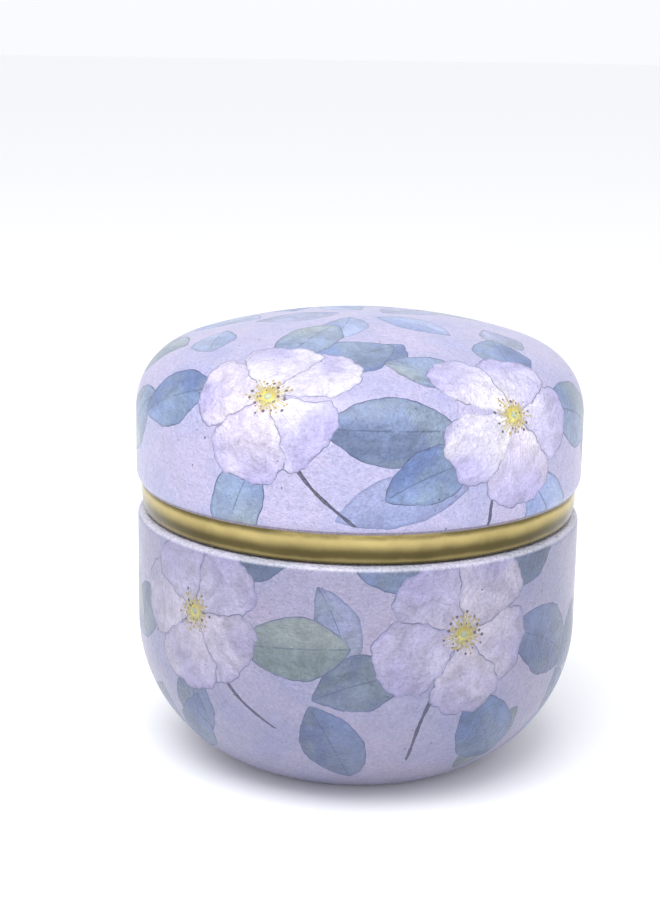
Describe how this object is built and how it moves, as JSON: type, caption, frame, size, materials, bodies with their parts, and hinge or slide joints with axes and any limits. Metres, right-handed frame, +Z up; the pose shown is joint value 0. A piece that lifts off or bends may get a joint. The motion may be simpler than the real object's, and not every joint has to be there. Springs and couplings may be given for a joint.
{
  "type": "spice tin",
  "caption": "Round tinplate spice tin with a belly-shaped body, a gold beaded neck ring and a domed lift-off lid.",
  "frame": {"origin": "centre of the plane that the tin stands on, under its stand ring", "axes": "+Z up along the tin's axis, towards the lid"},
  "size_m": [0.08, 0.08, 0.08],
  "materials": {
    "printed_body": "printed tinplate, satin varnish with a fine textured surface, gold lacquer inside",
    "gold_lacquer": "satin gold-lacquered tinplate",
    "printed_lid": "printed tinplate, satin varnish with a fine textured surface, gold lacquer inside"
  },
  "bodies": {
    "base": {"body_shell": "printed_body", "neck_ring": "gold_lacquer"},
    "lid": {"lid_shell": "printed_lid"}
  },
  "joints": [
    {"name": "lid_lift", "type": "slide", "parent": "base", "child": "lid", "axis": [0, 0, 1], "range_m": [0, 0.08]}
  ]
}
